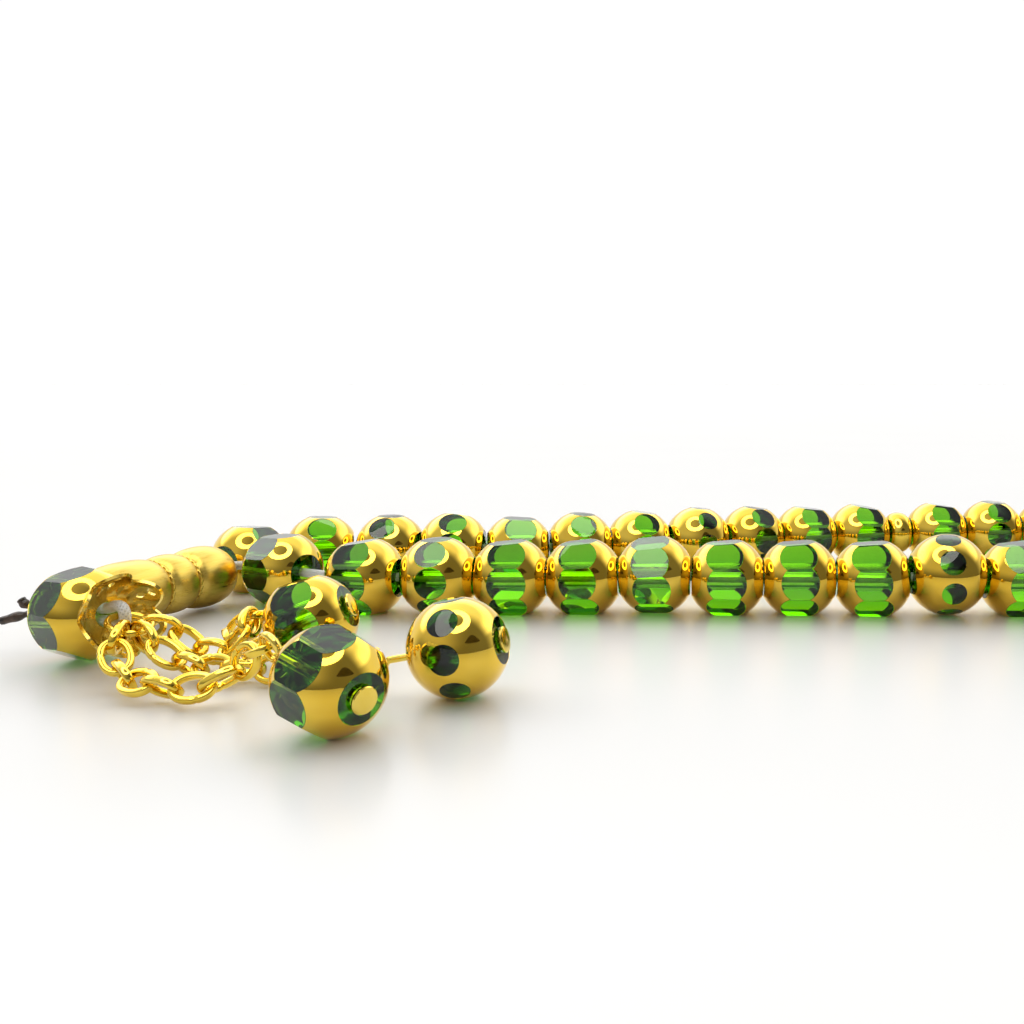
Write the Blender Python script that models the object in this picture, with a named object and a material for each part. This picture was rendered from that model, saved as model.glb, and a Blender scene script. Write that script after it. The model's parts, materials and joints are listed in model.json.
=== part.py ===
"""Misbaha: a loop of thirty-three window-cut glass beads with a leader bead and a chain tassel.

Units are metres and +Z is up; the sizes below are in millimetres and MM turns them into metres.
The beads lie on a table. Layout points are table coordinates: x to the right, y away from the
table's near edge. At the end the whole is moved so that the origin is under its middle.
"""

import math

import bmesh
import bpy
from mathutils import Matrix, Vector

MM = 0.001
UP = Vector((0, 0, 1))

# Counting beads: a sphere with a flat at each hole end and eight flats ground round the girdle
BEAD_DIAMETER = 10.0
POLE_FLAT = 4.85
BEAD_HOLE = 1.9
WINDOWS_PER_BEAD = 8
WINDOW_DIAMETER = {"L": 4.8, "M": 3.95, "S": 3.2}
HALF_LENGTH = math.sqrt((BEAD_DIAMETER / 2) ** 2 - (POLE_FLAT / 2) ** 2)
TASSEL_BEAD_SCALE = 0.93
BEAD_SEGMENTS = 16
BEAD_ARCS = 6
BEAD_CLEARANCE = 0.11

# One letter a bead for its window size, from the leader's front side round to its back side
GROUP_KINDS = ("LLMLLLLLLSL", "LMLMLLMLMML", "LLMSMMLMMML")
# Beads that came to rest part of the way on to the ridge between two windows, in degrees
BEAD_ROLL = {6: 16.0, 10: 19.0, 30: 10.0}
# Open string left before a bead, and how far along its route the string meets the first bead
SLACK_BEFORE = {2: 4.6}
FIRST_BEAD_START = 5.7

# Dividers after each eleven beads, as (distance from the middle, radius)
DIVIDER_LENGTH = 3.6
DIVIDER_FLAT = 3.4
DIVIDER_HEIGHT = 4.4
DIVIDER_PROFILE = (
    (-1.8, 1.7), (-1.55, 2.5), (-0.8, 3.1), (0.0, 3.25), (0.8, 3.1), (1.55, 2.5), (1.8, 1.7),
)

# String, doubled through the leader bead and the end bead
STRING_DIAMETER = 1.15
STRAND_OFFSET = 0.64
DOUBLE_HOLE = 2.8

# Leader bead: three swells along a turned barrel, as (distance from its front end, radius)
LEADER_FRONT = Vector((-65.4, 108.0, 4.5))
LEADER_BACK = Vector((-60.0, 127.8, 3.95))
LEADER_PROFILE = (
    (0.0, 2.3), (0.5, 2.9), (1.6, 3.4), (4.0, 3.65), (7.2, 3.6), (8.7, 3.3), (9.2, 3.3), (10.3, 3.6),
    (12.0, 3.6), (13.1, 3.35), (13.7, 3.35), (15.0, 3.75), (17.0, 3.88), (19.0, 3.6), (20.1, 3.0),
    (20.52, 2.4),
)

# End bead, and the flower cup on its front flat; both share the end bead's hole axis
END_BEAD = Vector((-61.5, 100.6, 0.0))
END_HEADING = math.radians(-34.0)
END_RISE = math.radians(6.0)
END_ROLL = math.radians(15.0)
CUP_GAP = 0.45
CUP_WALL = 0.4
CUP_PETALS = 6
CUP_ROWS = ((0.0, 1.55), (0.15, 2.35), (1.1, 3.35), (2.5, 3.85), (3.9, 4.15))
CUP_NOTCH = (0.0, 0.0, 0.0, 0.7, 1.5)

# Tassel ring, which the string loops round inside the cup
RING_RADIUS = 1.9
RING_WIRE = 0.7
RING_REACH = 7.1
RING_TILT = math.radians(24.0)
RING_SPREAD = math.radians(46.0)
STRING_EYE = ((5.6, 0.74), (6.6, 1.02), (7.6, 1.0), (8.2, 0.55))

# Knot beside the end bead, and its two sealed tails
KNOT = Vector((-68.2, 104.8, 4.4))
KNOT_RADIUS = 1.1
KNOT_TAILS = (
    ((-69.2, 104.6, 4.5), (-70.0, 104.4, 4.9), (-70.5, 104.3, 5.6)),
    ((-69.4, 104.6, 4.0), (-70.7, 104.4, 3.7), (-72.9, 104.2, 3.1)),
)

# Chain links, hooked on each other; a hook is half the distance between the two wires that meet
LINK_LENGTH = 4.3
LINK_WIDTH = 3.1
LINK_WIRE = 0.72
TIGHT_HOOK = 0.27
LOOSE_HOOK = 0.51
RING_HOOK = 0.46

# Head pins of the three dangling beads
PIN_WIRE = 0.7
PIN_HEAD_DIAMETER = 2.4
PIN_HEAD_THICKNESS = 0.4
PIN_HEAD_GAP = 0.15
PIN_EYE_RADIUS = 1.2
PIN_EYE_OPENING = 50
PIN_NECK = 3.0
EYE_PLAY = 0.3

# The string's route over the table, from the leader's back end round the loop and back
LOOP_ROUTE = (
    (-60.0, 127.8), (-59.4, 129.1), (-57.9, 129.9), (-55.6, 129.5), (-51.4, 127.2), (-47.4, 124.8),
    (-43.4, 122.9), (-39.0, 121.8), (-30.3, 121.8), (-21.3, 122.1), (-12.3, 122.2), (-3.4, 122.1),
    (5.6, 121.8), (14.5, 121.9), (23.3, 121.4), (31.9, 120.6), (40.4, 121.2), (50.1, 121.4),
    (63.1, 122.0), (75.3, 125.4), (83.0, 132.0), (85.9, 140.6), (83.3, 149.8), (75.8, 156.8),
    (64.2, 159.8), (54.5, 160.4), (44.8, 160.2), (35.8, 159.4), (29.3, 158.4), (22.6, 157.0),
    (14.4, 154.6), (6.6, 151.6), (-1.6, 149.0), (-10.0, 147.0), (-18.6, 144.8), (-27.2, 143.2),
    (-36.2, 142.6), (-45.0, 143.8), (-52.8, 142.8), (-58.6, 138.8), (-61.1, 133.4), (-60.9, 130.2),
    (-60.0, 127.8),
)

# Each chain: its place on the tassel ring, the links in each segment that moves as one, the points
# it passes on its way to the pin's eye, the pin's direction from eye to head, and the dangling
# bead's windows and turn
CHAINS = {
    "a": {
        "place": -1,
        "segments": (3, 3, 3),
        "route": ((-51.8, 89.4, 1.9), (-49.3, 87.1, 1.7), (-46.4, 86.1, 1.6), (-43.6, 85.1, 1.6),
                  (-41.0, 85.9, 2.0), (-39.0, 86.3, 3.4), (-37.5, 85.2, 5.2)),
        "arrival": ((-35.9, 83.7), (-33.9, 81.7)),
        "pin": (0.80, -0.57, -0.18),
        "kind": "L",
        "turn": 10.0,
    },
    "b": {
        "place": 0,
        "segments": (3, 3, 3),
        "route": ((-48.4, 93.4, 1.7), (-45.6, 92.2, 1.6), (-42.8, 91.7, 1.6), (-39.9, 91.9, 1.6),
                  (-37.1, 91.2, 1.6), (-34.3, 90.1, 1.6), (-31.2, 89.4, 1.8)),
        "arrival": ((-28.1, 88.9), (-24.4, 88.4)),
        "pin": (0.97, -0.10, 0.20),
        "kind": "S",
        "turn": 0.0,
    },
    "c": {
        "place": 1,
        "segments": (3, 3, 2),
        "route": ((-47.4, 96.3, 1.8), (-44.7, 95.8, 2.3), (-43.1, 96.7, 4.4), (-43.5, 99.5, 4.9),
                  (-45.3, 101.6, 3.6), (-47.3, 101.6, 1.9)),
        "arrival": ((-46.7, 99.6), (-44.2, 98.2)),
        "pin": (0.93, 0.0, 0.36),
        "kind": "L",
        "turn": 0.0,
    },
}

# Finishes: colour, metallic, roughness, transmission
FINISHES = {
    "bead_glass": ((0.10, 0.55, 0.02, 1.0), 0.0, 0.05, 0.6),
    "plated_gold": ((0.83, 0.60, 0.10, 1.0), 1.0, 0.12, 0.0),
    "satin_gold": ((0.80, 0.58, 0.12, 1.0), 1.0, 0.28, 0.0),
    "bright_gold": ((0.95, 0.68, 0.12, 1.0), 1.0, 0.15, 0.0),
    "white_nylon": ((0.86, 0.86, 0.84, 1.0), 0.0, 0.3, 0.1),
}


def clear_scene():
    for old in list(bpy.data.objects):
        bpy.data.objects.remove(old, do_unlink=True)


def finish(name):
    """The named Principled material, made once."""
    if name in bpy.data.materials:
        return bpy.data.materials[name]
    colour, metallic, roughness, transmission = FINISHES[name]
    made = bpy.data.materials.new(name)
    made.use_nodes = True
    made.diffuse_color = colour
    shader = made.node_tree.nodes["Principled BSDF"]
    shader.inputs["Base Color"].default_value = colour
    shader.inputs["Metallic"].default_value = metallic
    shader.inputs["Roughness"].default_value = roughness
    shader.inputs["Transmission Weight"].default_value = transmission
    return made


def add_object(name, data, material, root, placement):
    """Link one named object under the layout empty."""
    made = bpy.data.objects.new(name, data)
    bpy.context.collection.objects.link(made)
    made.parent = root
    made.matrix_local = placement
    if not data.materials:
        data.materials.append(finish(material))
    return made


def frame_along(origin, axis, up=UP):
    """A placement in metres whose X runs along the axis and whose Z is as near up as it can be."""
    x = axis.normalized()
    y = up.cross(x).normalized()
    rotation = Matrix((x, y, x.cross(y))).transposed().to_4x4()
    return Matrix.Translation(origin * MM) @ rotation


def mesh_from(bm, name):
    bmesh.ops.recalc_face_normals(bm, faces=bm.faces)
    mesh = bpy.data.meshes.new(name)
    bm.to_mesh(mesh)
    bm.free()
    mesh.shade_smooth()
    mesh.set_sharp_from_angle(angle=math.radians(35))
    return mesh


def turned(outline, segments):
    """Turn a closed outline of (x, radius) points in millimetres about X."""
    bm = bmesh.new()
    corners = [bm.verts.new(Vector((x, 0, -r)) * MM) for x, r in outline]
    edges = [bm.edges.new((a, b)) for a, b in zip(corners, corners[1:] + corners[:1])]
    bmesh.ops.spin(
        bm, geom=corners + edges, cent=(0, 0, 0), axis=(1, 0, 0), angle=2 * math.pi,
        steps=segments, use_merge=True,
    )
    bmesh.ops.remove_doubles(bm, verts=bm.verts, dist=0.000002)
    return bm


def window_depth(kind):
    return math.sqrt((BEAD_DIAMETER / 2) ** 2 - (WINDOW_DIAMETER[kind] / 2) ** 2)


def bead_mesh(kind, hole, scale=1.0):
    """A drilled bead along X with its windows ground flat, the first of them facing down."""
    radius = BEAD_DIAMETER / 2
    hole = hole / scale
    half_angle = math.asin(HALF_LENGTH / radius)
    outline = [(-HALF_LENGTH, hole / 2)]
    for step in range(BEAD_ARCS + 1):
        angle = half_angle * (2 * step / BEAD_ARCS - 1)
        outline.append((radius * math.sin(angle), radius * math.cos(angle)))
    outline.append((HALF_LENGTH, hole / 2))
    bm = turned(outline, BEAD_SEGMENTS)
    for number in range(WINDOWS_PER_BEAD):
        angle = 2 * math.pi * number / WINDOWS_PER_BEAD
        facing = Vector((0, math.sin(angle), -math.cos(angle)))
        cut = bmesh.ops.bisect_plane(
            bm, geom=bm.verts[:] + bm.edges[:] + bm.faces[:], dist=1e-7,
            plane_co=facing * window_depth(kind) * MM, plane_no=facing, clear_outer=True,
        )
        rim = [e for e in cut["geom_cut"] if isinstance(e, bmesh.types.BMEdge)]
        bmesh.ops.contextual_create(bm, geom=rim)
    bmesh.ops.scale(bm, vec=(scale, scale, scale), verts=bm.verts)
    return mesh_from(bm, f"bead_{kind}_{scale}")


def rest_height(mesh, rotation):
    """How high a bead's middle is over the table when its lowest corner touches it."""
    return -min((rotation @ v.co).z for v in mesh.vertices) / MM


def smooth_curve(points, steps=12):
    """A smooth curve through every point, as closely spaced points along it."""
    knots = [Vector(p) for p in points]
    knots = [2 * knots[0] - knots[1]] + knots + [2 * knots[-1] - knots[-2]]
    curve = []
    for before, start, end, after in zip(knots, knots[1:], knots[2:], knots[3:]):
        for step in range(steps):
            t = step / steps
            linear = (end - before) * t
            square = (2 * before - 5 * start + 4 * end - after) * t ** 2
            cube = (3 * start - before - 3 * end + after) * t ** 3
            curve.append(0.5 * (2 * start + linear + square + cube))
    curve.append(knots[-2])
    return curve


class Route:
    """A curve that can be read at a distance along it, or walked in straight steps."""

    def __init__(self, points):
        self.points = smooth_curve(points)
        self.lengths = [0.0]
        for a, b in zip(self.points, self.points[1:]):
            self.lengths.append(self.lengths[-1] + (b - a).length)
        self.total = self.lengths[-1]

    def at(self, distance):
        distance = min(max(distance, 0.0), self.total)
        low = 0
        high = len(self.lengths) - 1
        while high - low > 1:
            middle = (low + high) // 2
            if self.lengths[middle] <= distance:
                low = middle
            else:
                high = middle
        share = (distance - self.lengths[low]) / (self.lengths[high] - self.lengths[low])
        return self.points[low].lerp(self.points[high], share)

    def step(self, distance, chord):
        """The distance whose point is one straight chord away from the point at this distance."""
        start = self.at(distance)
        low = distance + 0.5 * chord
        high = distance + 1.8 * chord
        for _ in range(30):
            middle = (low + high) / 2
            if (self.at(middle) - start).length < chord:
                low = middle
            else:
                high = middle
        return (low + high) / 2


def pitch_needed(first, second, bend):
    """How far apart two neighbours' middles are when the rims of their end flats nearly meet."""
    straight = (first["half"] + second["half"]) * math.cos(bend / 2)
    rims = (first["flat"] + second["flat"]) / 2 * math.sin(bend / 2)
    return straight + rims + BEAD_CLEARANCE


def thread_loop(route):
    """Push beads and dividers up against each other along the route, in order from the leader."""
    order = []
    for group, kinds in enumerate(GROUP_KINDS):
        if group:
            order.append({"name": f"divider_{group}", "half": DIVIDER_LENGTH / 2,
                          "flat": DIVIDER_FLAT, "kind": None, "number": 0})
        for place, kind in enumerate(kinds):
            number = group * len(kinds) + place + 1
            order.append({"name": f"bead_{number:02d}", "half": HALF_LENGTH, "flat": POLE_FLAT,
                          "kind": kind, "number": number})
    distance = FIRST_BEAD_START
    last = None
    for piece in order:
        distance += SLACK_BEFORE.get(piece["number"], 0.0)
        while True:
            end = route.step(distance, 2 * piece["half"])
            near = route.at(distance)
            far = route.at(end)
            piece["axis"] = (far - near).normalized()
            piece["middle"] = (near + far) / 2
            if last is None:
                break
            bend = last["axis"].angle(piece["axis"])
            if (piece["middle"] - last["middle"]).length >= pitch_needed(last, piece, bend):
                break
            distance += 0.02
        piece["start"] = distance
        piece["end"] = end
        distance = end
        last = piece
    return order


def build_loop(root):
    """The counting beads and dividers, each resting on the table where the string leads it."""
    route = Route([(x, y, 0) for x, y in LOOP_ROUTE])
    threaded = thread_loop(route)
    beads = {kind: bead_mesh(kind, BEAD_HOLE) for kind in WINDOW_DIAMETER}
    outline = [(-DIVIDER_LENGTH / 2, BEAD_HOLE / 2), *DIVIDER_PROFILE,
               (DIVIDER_LENGTH / 2, BEAD_HOLE / 2)]
    divider = mesh_from(turned(outline, 14), "divider")
    for piece in threaded:
        roll = Matrix.Rotation(math.radians(BEAD_ROLL.get(piece["number"], 0.0)), 4, "X")
        if piece["kind"]:
            mesh = beads[piece["kind"]]
            piece["middle"].z = rest_height(mesh, roll.to_3x3())
            look = "bead_glass"
        else:
            mesh = divider
            piece["middle"].z = DIVIDER_HEIGHT
            look = "plated_gold"
        placement = frame_along(piece["middle"], piece["axis"]) @ roll
        add_object(piece["name"], mesh, look, root, placement)
    return route, threaded


def wire(name, points, diameter, resolution, closed=False):
    """A round wire or cord through the points, as a curve with filled ends."""
    curve = bpy.data.curves.new(name, "CURVE")
    curve.dimensions = "3D"
    curve.bevel_depth = diameter / 2 * MM
    curve.bevel_resolution = resolution
    curve.use_fill_caps = not closed
    spline = curve.splines.new("POLY")
    spline.points.add(len(points) - 1)
    for point, place in zip(spline.points, points):
        point.co = (place.x * MM, place.y * MM, place.z * MM, 1.0)
    spline.use_cyclic_u = closed
    return curve


def united(name, pieces, material, root, placement):
    """Join pieces that run into each other into one closed body placed on the joint given."""
    bpy.context.view_layer.update()
    graph = bpy.context.evaluated_depsgraph_get()
    solids = []
    for piece in pieces:
        mesh = bpy.data.meshes.new_from_object(piece.evaluated_get(graph))
        mesh.transform(placement.inverted() @ piece.matrix_local)
        solids.append(add_object(f"{name}_solid_{len(solids)}", mesh, material, root, placement))
    for other in solids[1:]:
        joint = solids[0].modifiers.new(other.name, "BOOLEAN")
        joint.operation = "UNION"
        joint.solver = "EXACT"
        joint.object = other
    bpy.context.view_layer.update()
    graph = bpy.context.evaluated_depsgraph_get()
    mesh = bpy.data.meshes.new_from_object(solids[0].evaluated_get(graph))
    mesh.shade_smooth()
    mesh.set_sharp_from_angle(angle=math.radians(40))
    for spent in pieces + solids:
        bpy.data.objects.remove(spent, do_unlink=True)
    mesh.materials.clear()
    return add_object(name, mesh, material, root, placement)


def build_leader(root):
    length = (LEADER_BACK - LEADER_FRONT).length
    outline = [(0.0, DOUBLE_HOLE / 2), *LEADER_PROFILE, (length, DOUBLE_HOLE / 2)]
    mesh = mesh_from(turned(outline, 18), "leader_bead")
    placement = frame_along(LEADER_FRONT, LEADER_BACK - LEADER_FRONT)
    add_object("leader_bead", mesh, "satin_gold", root, placement)


def end_axis():
    level = Vector((math.cos(END_HEADING), math.sin(END_HEADING), 0))
    return level * math.cos(END_RISE) + UP * math.sin(END_RISE)


def build_end_bead(root):
    mesh = bead_mesh("L", DOUBLE_HOLE)
    roll = Matrix.Rotation(END_ROLL, 4, "X")
    standing = (frame_along(Vector(), end_axis()) @ roll).to_3x3()
    middle = Vector((END_BEAD.x, END_BEAD.y, rest_height(mesh, standing)))
    add_object("end_bead", mesh, "bead_glass", root, frame_along(middle, end_axis()) @ roll)
    return middle


def build_cup(root, end_middle):
    """A six-petalled cup: a bowl of thin sheet with a scalloped rim and pierced petals."""
    bm = bmesh.new()
    columns = CUP_PETALS * 6
    grid = []
    for (reach, radius), notch in zip(CUP_ROWS, CUP_NOTCH):
        ring = []
        for column in range(columns):
            angle = 2 * math.pi * column / columns
            along = reach - notch * (0.5 + 0.5 * math.cos(CUP_PETALS * angle))
            ring.append(bm.verts.new(Vector(
                (along, -radius * math.sin(angle), radius * math.cos(angle))) * MM))
        grid.append(ring)
    for row in range(len(grid) - 1):
        for column in range(columns):
            after = (column + 1) % columns
            if row == 2 and column % 6 in (2, 3):
                continue
            bm.faces.new((grid[row][column], grid[row][after],
                          grid[row + 1][after], grid[row + 1][column]))
    mesh = mesh_from(bm, "flower_cup")
    start = end_middle + end_axis() * (HALF_LENGTH + CUP_GAP)
    cup = add_object("flower_cup", mesh, "bright_gold", root, frame_along(start, end_axis()))
    wall = cup.modifiers.new("sheet", "SOLIDIFY")
    wall.thickness = CUP_WALL * MM
    wall.offset = 0.0


def ring_frame(end_middle):
    """Where the string holds the tassel ring, its middle, and the two directions of its plane."""
    along = end_axis()
    hang = (along * math.cos(RING_TILT) - UP * math.sin(RING_TILT)).normalized()
    side = UP.cross(along).normalized()
    held = end_middle + along * RING_REACH
    return held, held + hang * RING_RADIUS, hang, side


def build_ring(root, end_middle):
    held, middle, hang, side = ring_frame(end_middle)
    points = []
    for step in range(16):
        angle = 2 * math.pi * step / 16
        spoke = hang * math.cos(angle) + side * math.sin(angle)
        points.append(middle + RING_RADIUS * spoke - held)
    curve = wire("tassel_ring", points, RING_WIRE, 1, closed=True)
    add_object("tassel_ring", curve, "bright_gold", root, Matrix.Translation(held * MM))


def dangle_height(meshes, plan):
    """The height of a dangling bead's middle and of its pin's eye when the bead rests."""
    pin = Vector(plan["pin"]).normalized()
    turn = Matrix.Rotation(math.radians(plan["turn"]), 3, "X")
    rotation = frame_along(Vector(), pin).to_3x3() @ turn
    height = rest_height(meshes[plan["kind"]], rotation)
    return height, height - pin.z * (PIN_EYE_RADIUS + PIN_NECK + HALF_LENGTH * TASSEL_BEAD_SCALE)


def segment_starts(plan):
    """The number of the first link in each of a chain's segments."""
    return [sum(plan["segments"][:place]) for place in range(len(plan["segments"]))]


def chain_hooks(plan, ring, eye_height):
    """The points where a chain's links hook on each other, and half the wires' distance there."""
    _, middle, hang, side = ring
    angle = plan["place"] * RING_SPREAD
    outward = hang * math.cos(angle) + side * math.sin(angle)
    start = middle + outward * (RING_RADIUS - RING_HOOK)
    count = sum(plan["segments"])
    stand = [RING_HOOK] + [TIGHT_HOOK] * (count - 1) + [0.0]
    for first in segment_starts(plan)[1:]:
        stand[first] = LOOSE_HOOK
    reach = LINK_LENGTH - LINK_WIRE
    first = start + outward * (reach - stand[0] - stand[1])
    arrival = [Vector((x, y, eye_height)) for x, y in plan["arrival"]]
    route = Route([start, first, *[Vector(p) for p in plan["route"]], *arrival])
    hooks = [start]
    distance = 0.0
    for number in range(count):
        distance = route.step(distance, reach - stand[number] - stand[number + 1])
        hooks.append(route.at(distance))
    return hooks, stand


def link_placements(hooks, stand, first_width, last_width):
    """Each link a quarter turn on from the last, with the twist that is left shared out."""
    directions = [(b - a).normalized() for a, b in zip(hooks, hooks[1:])]
    carried = [first_width]
    for before, after in zip(directions, directions[1:]):
        carried.append(before.rotation_difference(after) @ carried[-1])
    last = directions[-1]
    count = len(directions)
    plain = Matrix.Rotation(math.pi / 2 * (count - 1), 3, last) @ carried[-1]
    twist = math.atan2(plain.cross(last_width).dot(last), plain.dot(last_width))
    twist = (twist + math.pi / 2) % math.pi - math.pi / 2
    placements = []
    for number, direction in enumerate(directions):
        turn = math.pi / 2 * number + twist * number / (count - 1)
        across = Matrix.Rotation(turn, 3, direction) @ carried[number]
        across = (across - direction * across.dot(direction)).normalized()
        middle = hooks[number] + direction * ((LINK_LENGTH - LINK_WIRE) / 2 - stand[number])
        rotation = Matrix((direction, across, direction.cross(across))).transposed().to_4x4()
        placements.append(Matrix.Translation(middle * MM) @ rotation)
    return placements


def link_points():
    points = []
    for step in range(10):
        angle = 2 * math.pi * step / 10
        points.append(Vector(((LINK_LENGTH - LINK_WIRE) / 2 * math.cos(angle),
                              (LINK_WIDTH - LINK_WIRE) / 2 * math.sin(angle), 0)))
    return points


def build_chain(name, root, ring, meshes):
    """One chain of hooked links, its head pin and its dangling bead."""
    plan = CHAINS[name]
    _, _, hang, side = ring
    pin = Vector(plan["pin"]).normalized()
    _, eye_height = dangle_height(meshes, plan)
    hooks, stand = chain_hooks(plan, ring, eye_height)
    arriving = (hooks[-1] - hooks[-2]).normalized()
    eye_normal = arriving.cross(pin)
    if eye_normal.length < 0.35:
        eye_normal = pin.cross(UP)
    eye_normal = (eye_normal - pin * eye_normal.dot(pin)).normalized()
    placements = link_placements(hooks, stand, hang.cross(side), eye_normal)
    joints = []
    for segment, first in enumerate(segment_starts(plan)):
        joint = hooks[first]
        links = []
        for number in range(first, first + plan["segments"][segment]):
            curve = wire("link", link_points(), LINK_WIRE, 1, closed=True)
            links.append(add_object(f"link_{number}", curve, "bright_gold", root,
                                    placements[number]))
        united(f"chain_{name}_{segment + 1}", links, "bright_gold", root,
               Matrix.Translation(joint * MM))
        joints.append(joint)
    eye = hooks[-1] + pin * EYE_PLAY
    eye.z = eye_height
    build_pin(name, root, eye, pin, eye_normal)
    build_dangle(name, root, eye, pin, meshes)
    return {"joints": joints, "placements": placements, "tip": hooks[-1], "eye": eye, "pin": pin}


def build_pin(name, root, eye, pin, eye_normal):
    """A head pin along X: an eye round the origin, a straight shank, and a disc head."""
    points = []
    for degrees in range(360 - PIN_EYE_OPENING, 0, -30):
        angle = math.radians(degrees)
        points.append(Vector((math.cos(angle), 0, math.sin(angle))) * PIN_EYE_RADIUS)
    neck_end = PIN_EYE_RADIUS + PIN_NECK
    bead_half = HALF_LENGTH * TASSEL_BEAD_SCALE
    head_start = neck_end + 2 * bead_half + PIN_HEAD_GAP
    for reach in (PIN_EYE_RADIUS + 0.2, neck_end, neck_end + bead_half, head_start + 0.2):
        points.append(Vector((reach, 0, 0)))
    rotation = Matrix((pin, eye_normal, pin.cross(eye_normal))).transposed().to_4x4()
    placement = Matrix.Translation(eye * MM) @ rotation
    shank = add_object("shank", wire("shank", points, PIN_WIRE, 1), "bright_gold", root, placement)
    half = PIN_HEAD_DIAMETER / 2
    bm = turned([(head_start, 0.0), (head_start, half), (head_start + PIN_HEAD_THICKNESS, half),
                 (head_start + PIN_HEAD_THICKNESS, 0.0)], 14)
    head = add_object("head", mesh_from(bm, "head"), "bright_gold", root, placement)
    united(f"pin_{name}", [shank, head], "bright_gold", root, placement)


def build_dangle(name, root, eye, pin, meshes):
    plan = CHAINS[name]
    middle = eye + pin * (PIN_EYE_RADIUS + PIN_NECK + HALF_LENGTH * TASSEL_BEAD_SCALE)
    turn = Matrix.Rotation(math.radians(plan["turn"]), 4, "X")
    add_object(f"dangle_{name}", meshes[plan["kind"]], "bead_glass", root,
               frame_along(middle, pin) @ turn)


def build_knot(root):
    """The knot and its two sealed tails, as one body."""
    bm = bmesh.new()
    bmesh.ops.create_icosphere(bm, subdivisions=2, radius=KNOT_RADIUS * MM)
    placement = Matrix.Translation(KNOT * MM)
    lump = add_object("lump", mesh_from(bm, "lump"), "white_nylon", root, placement)
    pieces = [lump]
    for tail in KNOT_TAILS:
        points = smooth_curve([Vector((0, 0, 0))] + [Vector(p) - KNOT for p in tail], steps=2)
        curve = wire("tail", points, STRING_DIAMETER, 1)
        for number, point in enumerate(curve.splines[0].points):
            point.radius = 0.85 + 0.3 * (number >= len(points) - 2)
        pieces.append(add_object("tail", curve, "white_nylon", root, placement))
    united("string_knot", pieces, "white_nylon", root, placement)


def build_string(root, route, threaded, end_middle):
    """One string: knot, leader, all the loop, leader, end bead, round the tassel ring, and back."""
    lift = UP * STRAND_OFFSET
    along = end_axis()
    back_pole = end_middle - along * HALF_LENGTH
    front_pole = end_middle + along * HALF_LENGTH
    points = [KNOT + Vector((0.75, 1.05, 0.5)), Vector((-66.5, 106.6, 5.1)),
              LEADER_FRONT + Vector((-0.25, -0.6, 0)) + lift, LEADER_FRONT + lift,
              LEADER_BACK + lift]
    first = threaded[0]
    last = threaded[-1]
    leaving = LEADER_BACK.z + STRAND_OFFSET
    for share in (0.25, 0.5, 0.75):
        place = route.at(first["start"] * share)
        place.z = leaving + (first["middle"].z - leaving) * share
        points.append(place)
    points.append(first["middle"] - first["axis"] * first["half"])
    for before, after in zip(threaded, threaded[1:]):
        leaving = before["middle"] + before["axis"] * before["half"]
        entering = after["middle"] - after["axis"] * after["half"]
        if (entering - leaving).length > STRING_DIAMETER:
            points += [leaving, entering]
        else:
            points.append((leaving + entering) / 2)
    points.append(last["middle"] + last["axis"] * last["half"])
    arriving = LEADER_BACK.z - STRAND_OFFSET
    for share in (0.35, 0.7):
        place = route.at(last["end"] + (route.total - last["end"]) * share)
        place.z = last["middle"].z + (arriving - last["middle"].z) * share
        points.append(place)
    points += [LEADER_BACK - lift, LEADER_FRONT - lift, Vector((-65.95, 105.9, 3.85)),
               Vector((-65.95, 104.3, 3.8)), back_pole - lift, front_pole - lift]
    eye = [(reach, -height) for reach, height in STRING_EYE]
    eye += [(STRING_EYE[-1][0] + 0.15, 0.0)]
    eye += [(reach, height) for reach, height in reversed(STRING_EYE)]
    points += [end_middle + along * reach + UP * height for reach, height in eye]
    points += [front_pole + lift, back_pole + lift, Vector((-66.0, 103.6, 5.1)),
               KNOT + Vector((1.0, -0.85, 0.35))]
    curve = wire("string", points, STRING_DIAMETER, 2)
    add_object("string", curve, "white_nylon", root, Matrix.Identity(4))
    return points


def stand_on_origin(root):
    """Move the whole so that the origin is under the middle of its bounding box."""
    bpy.context.view_layer.update()
    graph = bpy.context.evaluated_depsgraph_get()
    low = Vector((1e9, 1e9, 1e9))
    high = -low
    for made in root.children:
        solid = made.evaluated_get(graph)
        mesh = solid.to_mesh()
        for vertex in mesh.vertices:
            place = made.matrix_world @ vertex.co
            low = Vector(map(min, low, place))
            high = Vector(map(max, high, place))
        solid.to_mesh_clear()
    root.location = (-(low.x + high.x) / 2, -(low.y + high.y) / 2, -low.z)
    bpy.context.view_layer.update()
    return low, high


def main():
    clear_scene()
    root = bpy.data.objects.new("misbaha", None)
    bpy.context.collection.objects.link(root)
    route, threaded = build_loop(root)
    build_leader(root)
    end_middle = build_end_bead(root)
    build_cup(root, end_middle)
    build_ring(root, end_middle)
    meshes = {kind: bead_mesh(kind, BEAD_HOLE, TASSEL_BEAD_SCALE) for kind in WINDOW_DIAMETER}
    ring = ring_frame(end_middle)
    chains = {name: build_chain(name, root, ring, meshes) for name in CHAINS}
    build_knot(root)
    points = build_string(root, route, threaded, end_middle)
    low, high = stand_on_origin(root)
    return {"root": root, "route": route, "threaded": threaded, "end_middle": end_middle,
            "ring": ring, "chains": chains, "string": points, "low": low, "high": high}


if __name__ == "__main__":
    main()
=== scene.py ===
"""Misbaha on a pale table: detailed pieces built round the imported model, which fixes every place."""

import json
import math
import random

import bmesh
import bpy
from mathutils import Matrix, Vector


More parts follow.
